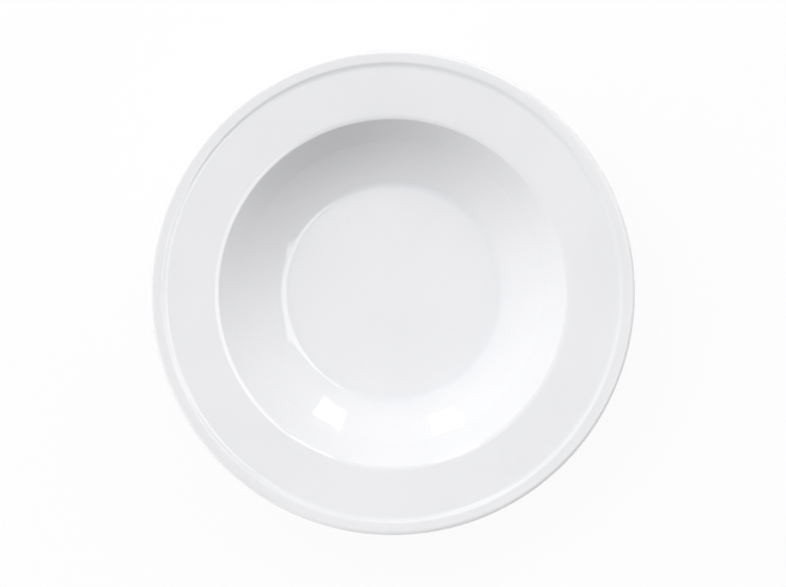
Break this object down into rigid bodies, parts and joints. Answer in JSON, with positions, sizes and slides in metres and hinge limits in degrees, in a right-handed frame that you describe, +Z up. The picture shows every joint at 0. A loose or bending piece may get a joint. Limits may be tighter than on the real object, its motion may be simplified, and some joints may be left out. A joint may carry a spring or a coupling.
{
  "type": "rimmed soup plate",
  "caption": "Round white porcelain soup plate with a deep well, a broad rim, a raised lip band and a bare foot ring to stand on.",
  "frame": {"origin": "centre of the plate on the plane of the foot ring's bearing face, which is the bottom centre of the whole plate", "axes": "+Z up out of the well along the plate's axis of revolution; X and Y lie in the plane that the plate stands on"},
  "size_m": [0.24, 0.24, 0.0386],
  "materials": {
    "bare_porcelain": "unglazed, fine matt",
    "clear_glaze": "high gloss"
  },
  "bodies": {
    "root": {"porcelain_body": "bare_porcelain", "outer_glaze": "clear_glaze", "foot_well_glaze": "clear_glaze"}
  },
  "joints": []
}
